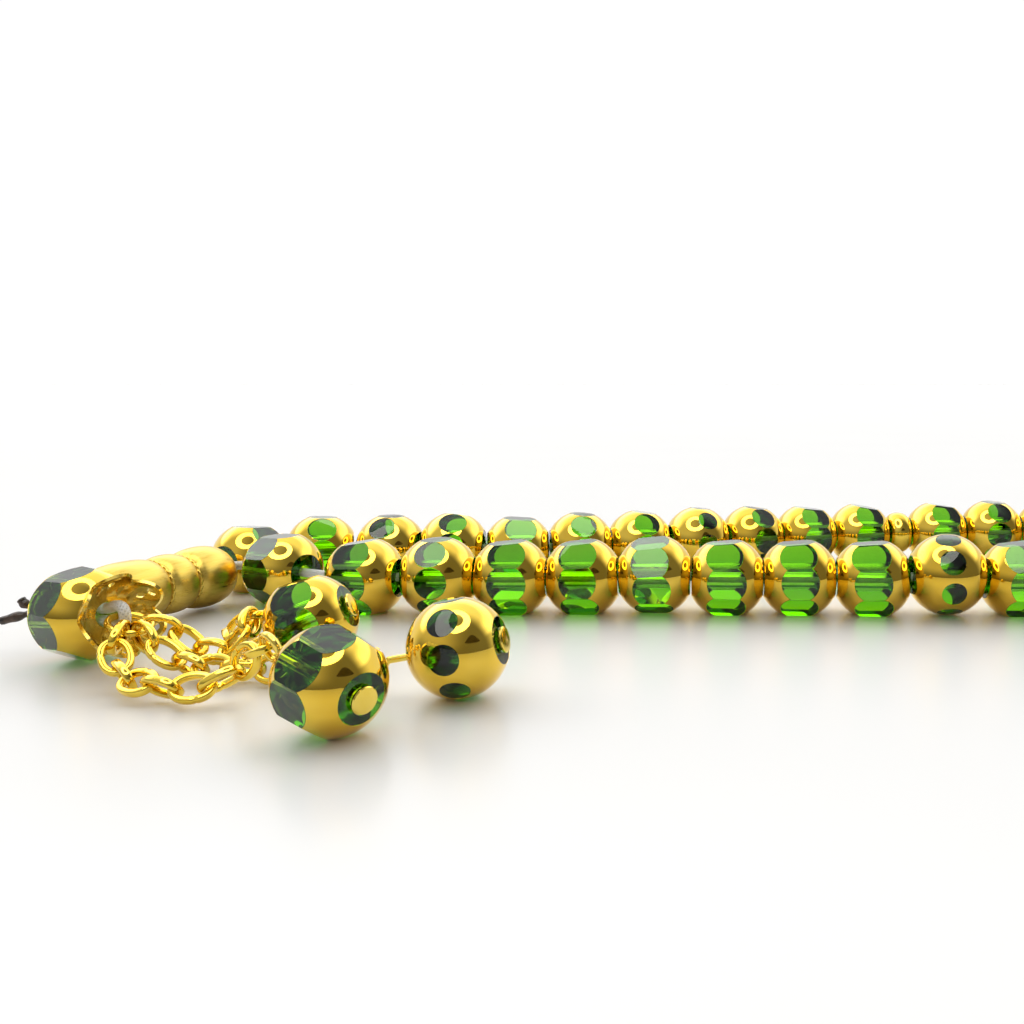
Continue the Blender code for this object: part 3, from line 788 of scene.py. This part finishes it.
def ring_frame():
    """The jump ring's middle, the way it hangs, and its sideways direction."""
    along = end_axis()
    hang = (along * math.cos(RING_TILT) - UP * math.sin(RING_TILT)).normalized()
    side = UP.cross(along).normalized()
    held = (joint_place("ring_lift") - TABLE) / MM
    return held + hang * RING_RADIUS, hang, side


def build_ring():
    middle, hang, side = ring_frame()
    points = []
    for step in range(72):
        angle = 2 * math.pi * (step + 0.5) / 72
        points.append(RING_RADIUS * (hang * math.cos(angle) + side * math.sin(angle)))
    ring = round_section(RING_WIRE / 2 - 0.01, 16)
    vertices, faces = swept(points, lambda i: ring, closed=True, first_side=hang.cross(side))
    mesh = mesh_of("tassel_jump_ring", vertices, faces)
    place = Matrix.Translation(table_to_frame(middle))
    add_piece("tassel_jump_ring", mesh, CHAIN_GOLD, place, "tassel_ring", "tassel_ring")


# ---------------------------------------------------------------- chains, pins and tassel beads

def segment_starts(plan):
    return [sum(plan["segments"][:place]) for place in range(len(plan["segments"]))]


def chain_hooks(plan, ring, eye_height):
    """The points where a chain's links hook on each other, and half the wires' distance there."""
    middle, hang, side = ring
    angle = plan["place"] * RING_SPREAD
    outward = hang * math.cos(angle) + side * math.sin(angle)
    start = middle + outward * (RING_RADIUS - RING_HOOK)
    count = sum(plan["segments"])
    stand = [RING_HOOK] + [TIGHT_HOOK] * (count - 1) + [0.0]
    for first in segment_starts(plan)[1:]:
        stand[first] = LOOSE_HOOK
    reach = LINK_LENGTH - LINK_WIRE
    first = start + outward * (reach - stand[0] - stand[1])
    arrival = [Vector((x, y, eye_height)) for x, y in plan["arrival"]]
    route = Route([start, first, *[Vector(p) for p in plan["route"]], *arrival])
    hooks = [start]
    distance = 0.0
    for number in range(count):
        distance = route.step(distance, reach - stand[number] - stand[number + 1])
        hooks.append(route.at(distance))
    return hooks, stand


def link_places(hooks, stand, first_width, last_width):
    """Each link a quarter turn on from the last, with the twist that is left shared out."""
    directions = [(b - a).normalized() for a, b in zip(hooks, hooks[1:])]
    carried = [first_width]
    for before, after in zip(directions, directions[1:]):
        carried.append(before.rotation_difference(after) @ carried[-1])
    last = directions[-1]
    count = len(directions)
    plain = Matrix.Rotation(math.pi / 2 * (count - 1), 3, last) @ carried[-1]
    twist = math.atan2(plain.cross(last_width).dot(last), plain.dot(last_width))
    twist = (twist + math.pi / 2) % math.pi - math.pi / 2
    places = []
    for number, direction in enumerate(directions):
        turn = math.pi / 2 * number + twist * number / (count - 1)
        across = Matrix.Rotation(turn, 3, direction) @ carried[number]
        across = (across - direction * across.dot(direction)).normalized()
        middle = hooks[number] + direction * ((LINK_LENGTH - LINK_WIRE) / 2 - stand[number])
        rotation = Matrix((direction, across, direction.cross(across))).transposed().to_4x4()
        places.append(Matrix.Translation(table_to_frame(middle)) @ rotation)
    return places


# The flattened wire's half sizes, and how squarely it is flattened: 1 is round
LINK_HALF_WIRE = (0.38, 0.33)
LINK_SQUARENESS = 0.62


def link_mesh(name, rng):
    """An oval link of flattened wire, its faces planed smooth and its joint just showing."""
    steps = 56
    sides = 16
    points = []
    long = (LINK_LENGTH - LINK_WIRE) / 2
    wide = (LINK_WIDTH - LINK_WIRE) / 2 * rng.uniform(0.97, 1.03)
    power = rng.uniform(0.84, 0.94)
    for step in range(steps):
        angle = 2 * math.pi * step / steps
        c = math.cos(angle)
        s = math.sin(angle)
        points.append(Vector((long * rounded(c, power), wide * rounded(s, power), 0)))
    seam = steps // 4 + rng.choice((-2, 0, 2))

    def section(i):
        pinch = 0.82 if abs(i - seam) < 1 else 1.0
        ring = []
        for k in range(sides):
            turn = 2 * math.pi * k / sides
            across = rounded(math.cos(turn), LINK_SQUARENESS) * LINK_HALF_WIRE[0]
            through = rounded(math.sin(turn), LINK_SQUARENESS) * LINK_HALF_WIRE[1]
            ring.append((across * pinch, through * pinch))
        return ring

    vertices, faces = swept(points, section, closed=True, first_side=Vector((0, 0, 1)))
    return mesh_of(name, vertices, faces, 50)


# Where the eye's wire ends and where it turns into the neck, in degrees round the eye
EYE_TIP_ANGLE = 310
EYE_NECK_ANGLE = 22


def eye_facing(arriving, pin):
    """The direction a pin's eye faces, square to the pin and across the last link."""
    facing = arriving.cross(pin)
    if facing.length < 0.35:
        facing = pin.cross(UP)
    return (facing - pin * facing.dot(pin)).normalized()


def build_pin(name, pin, facing):
    """The head pin: a turned eye, a straight shank, and a slightly domed disc for a head."""
    eye = joint_place(f"dangle_{name}_spin")
    rotation = Matrix((pin, facing, pin.cross(facing))).transposed().to_4x4()
    place = Matrix.Translation(eye) @ rotation
    points = []
    for step in range(44):
        angle = math.radians(EYE_TIP_ANGLE - (EYE_TIP_ANGLE - EYE_NECK_ANGLE) * step / 43)
        points.append(Vector((math.cos(angle), 0, math.sin(angle))) * PIN_EYE_RADIUS)
    bead_length = 2 * HALF_LENGTH * TASSEL_BEAD_SCALE
    head_start = PIN_EYE_RADIUS + PIN_NECK + bead_length + PIN_HEAD_GAP
    points.append(Vector((PIN_EYE_RADIUS + 0.10, 0, 0.16)))
    reach = PIN_EYE_RADIUS + 0.38
    while reach < head_start:
        points.append(Vector((reach, 0, 0)))
        reach += 0.5
    points.append(Vector((head_start + 0.1, 0, 0)))
    ring = round_section(PIN_WIRE / 2 - 0.01, 18)
    vertices, faces = swept(points, lambda i: ring, first_side=Vector((0, 1, 0)))
    shank = mesh_of(f"pin_{name}_shank", vertices, faces)
    add_piece(f"pin_{name}_shank", shank, PIN_GOLD, place, f"pin_{name}", f"pin_{name}")
    half = PIN_HEAD_DIAMETER / 2
    top = head_start + PIN_HEAD_THICKNESS
    outline = [(head_start, 0.0), (head_start, half - 0.08), (head_start + 0.08, half)]
    outline += [(top - 0.16, half), (top - 0.06, half - 0.08), (top - 0.02, half - 0.3)]
    outline += [(top, half * 0.5), (top, 0.0)]
    head = mesh_from(turned(outline, 56), f"pin_{name}_head")
    add_piece(f"pin_{name}_head", head, PIN_GOLD, place, f"pin_{name}", None)


def build_tassels():
    """Each chain with its pin and its bead."""
    ring = ring_frame()
    ring_normal = ring[1].cross(ring[2])
    for name, plan in CHAINS.items():
        rng = random.Random(name)
        pin = joint_axis(f"dangle_{name}_spin")
        eye = (joint_place(f"dangle_{name}_spin") - TABLE) / MM
        hooks, stand = chain_hooks(plan, ring, eye.z)
        facing = eye_facing((hooks[-1] - hooks[-2]).normalized(), pin)
        places = link_places(hooks, stand, ring_normal, facing)
        for segment, first in enumerate(segment_starts(plan)):
            body = f"chain_{name}_{segment + 1}"
            for number in range(first, first + plan["segments"][segment]):
                piece = f"link_{name}_{number + 1:02d}"
                node = body if number == first else None
                add_piece(piece, link_mesh(piece, rng), CHAIN_GOLD, places[number], body, node)
        build_pin(name, pin, facing)
        middle = eye + pin * (PIN_EYE_RADIUS + PIN_NECK + HALF_LENGTH * TASSEL_BEAD_SCALE)
        turn = Matrix.Rotation(math.radians(plan["turn"]), 4, "X")
        build_bead(f"dangle_{name}", plan["kind"], placed(table_to_frame(middle), pin) @ turn,
                   scale=TASSEL_BEAD_SCALE, seed=200 + ord(name), drift=1)


# ---------------------------------------------------------------- string and knot

def string_route():
    """The string's own points, in millimetres on the table, from the knot round and back."""
    def local(point):
        return (point - TABLE) / MM

    lift = UP * STRAND_OFFSET
    along = end_axis()
    end_middle = local(joint_place("end_bead_spin"))
    back_pole = end_middle - along * HALF_LENGTH
    front_pole = end_middle + along * HALF_LENGTH
    points = [KNOT + Vector((0.75, 1.05, 0.5)), Vector((-66.5, 106.6, 5.1)),
              LEADER_FRONT + Vector((-0.25, -0.6, 0)) + lift, LEADER_FRONT + lift,
              LEADER_BACK + lift]
    order = []
    number = 0
    for group, kinds in enumerate(GROUP_KINDS):
        if group:
            name = f"divider_{group}_spin"
            order.append((local(joint_place(name)), joint_axis(name), DIVIDER_HALF))
        for _ in kinds:
            number += 1
            middle, axis = bead_middle(number)
            order.append((local(middle), axis, HALF_LENGTH))
    points += [Vector((-59.41, 129.09, 4.54)), Vector((-58.22, 129.84, 4.49)),
               Vector((-56.81, 129.87, 4.44))]
    points.append(order[0][0] - order[0][1] * order[0][2])
    for before, after in zip(order, order[1:]):
        leaving = before[0] + before[1] * before[2]
        entering = after[0] - after[1] * after[2]
        if (entering - leaving).length > STRING_DIAMETER:
            points += [leaving, entering]
        else:
            points.append((leaving + entering) / 2)
    points.append(order[-1][0] + order[-1][1] * order[-1][2])
    points += [Vector((-60.9, 130.22, 4.01)), Vector((-60.47, 128.9, 3.63))]
    points += [LEADER_BACK - lift, LEADER_FRONT - lift, Vector((-65.95, 105.9, 3.85)),
               Vector((-65.95, 104.3, 3.8)), back_pole - lift, front_pole - lift]
    eye = [(reach, -height) for reach, height in STRING_EYE]
    eye += [(STRING_EYE[-1][0] + 0.15, 0.0)]
    eye += [(reach, height) for reach, height in reversed(STRING_EYE)]
    points += [end_middle + along * reach + UP * height for reach, height in eye]
    points += [front_pole + lift, back_pole + lift, Vector((-66.0, 103.6, 5.1)),
               KNOT + Vector((1.0, -0.85, 0.35))]
    return points


def unwrapped(mesh, sides, spacing, girth):
    """UVs in millimetres round and along a swept tube, whose rings follow each other."""
    layer = mesh.uv_layers.new(name="UVMap")
    for polygon in mesh.polygons:
        columns = [mesh.loops[k].vertex_index % sides for k in polygon.loop_indices]
        wraps = max(columns) - min(columns) > sides / 2
        for k, column in zip(polygon.loop_indices, columns):
            ring = mesh.loops[k].vertex_index // sides
            around = column + sides if wraps and column == 0 else column
            layer.data[k].uv = (ring * spacing, around * girth / sides)


# How far apart the string's rings are, and how many points each has
STRING_SPACING = 0.45
STRING_SIDES = 14


def build_string():
    """The braided string from the knot round the loop and back, eased where it turns."""
    route = string_route()
    dense = []
    for a, b in zip(route, route[1:]):
        steps = max(1, round((b - a).length / STRING_SPACING))
        for step in range(steps):
            dense.append(a.lerp(b, step / steps))
    dense.append(route[-1])
    for _ in range(4):
        eased = [dense[0]]
        for a, b, c in zip(dense, dense[1:], dense[2:]):
            eased.append(b * 0.6 + (a + c) * 0.2)
        dense = eased + [dense[-1]]
    ring = round_section(STRING_DIAMETER / 2 - 0.01, STRING_SIDES)
    vertices, faces = swept(dense, lambda i: ring, first_side=UP)
    mesh = mesh_of("string_braid", vertices, faces, 60)
    unwrapped(mesh, STRING_SIDES, STRING_SPACING, math.pi * STRING_DIAMETER)
    place = Matrix.Translation(TABLE)
    piece = add_piece("string_braid", mesh, NYLON, place, "string", "string")


KNOT_STRAND_RADIUS = 0.40
KNOT_SPACING = 0.12
# How many of a tail's rings, from its tip, the flame has melted
MELTED_RINGS = 20


def build_knot():
    """The tied knot with its two ends cut short and sealed with a flame."""
    place = Matrix.Translation(TABLE)
    points = []
    for step in range(110):
        t = 2 * math.pi * step / 110
        turn = Vector((math.sin(t) + 2 * math.sin(2 * t), math.cos(t) - 2 * math.cos(2 * t),
                       -math.sin(3 * t) * 1.4))
        points.append(KNOT + Vector((turn.z, turn.x, turn.y)) * 0.235)
    ring = round_section(KNOT_STRAND_RADIUS, STRING_SIDES)
    girth = 2 * math.pi * KNOT_STRAND_RADIUS
    vertices, faces = swept(points, lambda i: ring, closed=True)
    mesh = mesh_of("knot_turns", vertices, faces, 60)
    unwrapped(mesh, STRING_SIDES, KNOT_SPACING, girth)
    add_piece("knot_turns", mesh, NYLON, place, "string", "string_knot")
    for number, tail in enumerate(KNOT_TAILS):
        curve = smooth_curve([KNOT] + [Vector(p) for p in tail], 9)
        total = len(curve)
        sealed = total - MELTED_RINGS

        def section(i):
            share = i / (total - 1)
            radius = KNOT_STRAND_RADIUS + 0.03 * math.sin(share * 17)
            if i >= sealed:
                melt = (i - sealed) / (total - 1 - sealed)
                radius = KNOT_STRAND_RADIUS + 0.09 * math.sin(13 * melt)
                radius += 0.24 * melt ** 3 - 0.50 * melt ** 24
            return round_section(radius, STRING_SIDES)

        vertices, faces = swept(curve, section)
        mesh = mesh_of(f"knot_tail_{number + 1}", vertices, faces, 60)
        unwrapped(mesh, STRING_SIDES, KNOT_SPACING, girth)
        mesh.materials.append(NYLON)
        mesh.materials.append(BURNT)
        for polygon in mesh.polygons:
            if min(polygon.vertices) // STRING_SIDES >= sealed - 2:
                polygon.material_index = 1
        add_piece(f"knot_tail_{number + 1}", mesh, None, place, "string", None)


# ---------------------------------------------------------------- camera, floor and light

SENSOR_WIDTH = 36.0
FOCAL_LENGTH = 35.15625
# Sideways shift as a share of the picture's width
CAMERA_SHIFT = -0.16699
CAMERA_HEIGHT = 28.4
CAMERA_DIP = 7.39


def build_camera():
    camera = bpy.data.cameras.new("camera")
    camera.sensor_width = SENSOR_WIDTH
    camera.lens = FOCAL_LENGTH
    camera.shift_x = CAMERA_SHIFT
    camera.clip_start = 0.005
    camera.clip_end = 20.0
    made = bpy.data.objects.new("camera", camera)
    bpy.context.scene.collection.objects.link(made)
    made.location = TABLE + Vector((0, 0, CAMERA_HEIGHT)) * MM
    made.rotation_euler = (math.radians(90 - CAMERA_DIP), 0, 0)
    bpy.context.scene.camera = made


# Brightness of the surroundings
SWEEP = 1.02
BAND_LEFT = 3.4
BAND_RIGHT = 2.2
OVERHEAD_LEFT = 1.8
OVERHEAD_RIGHT = 1.2
ROOM_LOW = 0.19
ROOM_LEFT = 0.66
ROOM_RIGHT = 0.2
LAMP_GLOW = 4.5
# Places from the middle of the near row, in millimetres; sizes in metres
LIT_POINT = Vector((0, 122, 5))
LAMP_PLACE = Vector((-32, -95, 270))
LAMP_INNER = 0.084
LAMP_OUTER = 0.165
CARD_PLACE = Vector((108, -148, 76))
CARD_HALF = 0.060
FLOOR_HALF = 15.0
FLOOR_DROP = 0.00002


def glowing(name, colour, strength):
    material = bpy.data.materials.new(name)
    material.use_nodes = True
    tree = material.node_tree
    tree.nodes.clear()
    glow = tree.nodes.new("ShaderNodeEmission")
    glow.inputs["Color"].default_value = (*colour, 1.0)
    glow.inputs["Strength"].default_value = strength
    out = tree.nodes.new("ShaderNodeOutputMaterial")
    tree.links.new(glow.outputs["Emission"], out.inputs["Surface"])
    return material


def staged(name, vertices, faces, material, place=Matrix.Identity(4)):
    mesh = bpy.data.meshes.new(name)
    mesh.from_pydata(vertices, [], faces)
    mesh.materials.append(material)
    made = bpy.data.objects.new(name, mesh)
    bpy.context.scene.collection.objects.link(made)
    made.matrix_world = place
    return made


def build_floor():
    made = Nodes("pale_table")
    cloud = made.noise(14, 3)
    made.colour(made.ramp(cloud, ((0.3, (0.885, 0.885, 0.88)), (0.7, (0.90, 0.90, 0.895)))))
    made.rough(made.spread(made.noise(30, 2), 0.27, 0.30))
    made.set(Specular_IOR_Level=0.35)
    corners = []
    for x, y in ((-1, -1), (1, -1), (1, 1), (-1, 1)):
        corners.append((x * FLOOR_HALF, y * FLOOR_HALF, -FLOOR_DROP))
    staged("table_top", corners, [(0, 1, 2, 3)], made.material)


def build_world():
    """A white sweep behind, bright overhead at the back and left, and a dim room in front."""
    world = bpy.data.worlds.new("studio")
    bpy.context.scene.world = world
    world.use_nodes = True
    tree = world.node_tree
    direction = tree.nodes.new("ShaderNodeTexCoord").outputs["Generated"]
    parts = tree.nodes.new("ShaderNodeSeparateXYZ")
    tree.links.new(direction, parts.inputs["Vector"])

    def eased(axis, first, last, low, high):
        """A value that eases from low to high as the direction's part goes from first to last."""
        node = tree.nodes.new("ShaderNodeMapRange")
        node.interpolation_type = "SMOOTHSTEP"
        node.inputs["From Min"].default_value = first
        node.inputs["From Max"].default_value = last
        node.inputs["To Min"].default_value = low
        node.inputs["To Max"].default_value = high
        tree.links.new(parts.outputs[axis], node.inputs["Value"])
        return node.outputs["Result"]

    def mixed(share, low, high):
        node = tree.nodes.new("ShaderNodeMix")
        for value, socket in zip((share, low, high), ("Factor", "A", "B")):
            if isinstance(value, float):
                node.inputs[socket].default_value = value
            else:
                tree.links.new(value, node.inputs[socket])
        return node.outputs["Result"]

    band = eased("X", -0.7, 0.7, BAND_LEFT, BAND_RIGHT)
    band = mixed(eased("Z", 0.36, 0.48, 0.0, 1.0), SWEEP, band)
    overhead = eased("X", -0.7, 0.7, OVERHEAD_LEFT, OVERHEAD_RIGHT)
    sweep = mixed(eased("Z", 0.6, 0.8, 0.0, 1.0), band, overhead)
    room = eased("X", -0.6, 0.6, ROOM_LEFT, ROOM_RIGHT)
    room = mixed(eased("Z", 0.0, 0.45, 0.0, 1.0), ROOM_LOW, room)
    light = mixed(eased("Y", -0.2, 0.35, 0.0, 1.0), room, sweep)
    background = tree.nodes["Background"]
    tree.links.new(light, background.inputs["Strength"])
    background.inputs["Color"].default_value = (1.0, 0.995, 0.985, 1.0)


def flat_ring(inner, outer, steps=72):
    """A flat ring of faces between two radii, facing +Z."""
    vertices = []
    faces = []
    for step in range(steps):
        angle = 2 * math.pi * step / steps
        for radius in (inner, outer):
            vertices.append((radius * math.cos(angle), radius * math.sin(angle), 0))
    for step in range(steps):
        a = 2 * step
        b = 2 * ((step + 1) % steps)
        faces.append((a, a + 1, b + 1, b))
    return vertices, faces


def aimed(offset):
    """A placement at an offset from the lit point, with its -Z turned towards that point."""
    target = TABLE + LIT_POINT * MM
    spot = target + offset * MM
    turn = (target - spot).to_track_quat("-Z", "Y").to_matrix().to_4x4()
    return Matrix.Translation(spot) @ turn


def only_reflected(made):
    made.visible_camera = False
    made.visible_diffuse = False


def build_lamp():
    """The ring lamp, which only reflections show."""
    vertices, faces = flat_ring(LAMP_INNER, LAMP_OUTER)
    glow = glowing("ring_glow", (1.0, 0.98, 0.92), LAMP_GLOW)
    only_reflected(staged("ring_lamp", vertices, faces, glow, aimed(LAMP_PLACE)))


def build_dark_card():
    """The dark hump beside the lens, seen only in reflections."""
    dark = Nodes("dark_card")
    cloud = dark.noise(60, 3)
    dark.colour(dark.ramp(cloud, ((0.3, (0.010, 0.007, 0.005)), (0.7, (0.035, 0.020, 0.010)))))
    dark.set(Roughness=0.6)
    corners = []
    steps = 40
    for step in range(steps):
        angle = 2 * math.pi * step / steps
        rise = math.sin(angle)
        height = 0.75 * rise ** 3 if rise > 0 else 0.22 * rise
        corners.append((CARD_HALF * math.cos(angle), CARD_HALF * height, 0))
    card = staged("dark_card", corners, [tuple(range(steps))], dark.material, aimed(CARD_PLACE))
    only_reflected(card)


def main():
    build_camera()
    build_string()
    build_knot()
    build_loop_beads()
    build_dividers()
    build_leader()
    build_end_bead()
    build_cup()
    build_ring()
    build_tassels()
    build_floor()
    build_world()
    build_lamp()
    build_dark_card()
    bpy.context.scene.view_settings.view_transform = "Standard"


main()
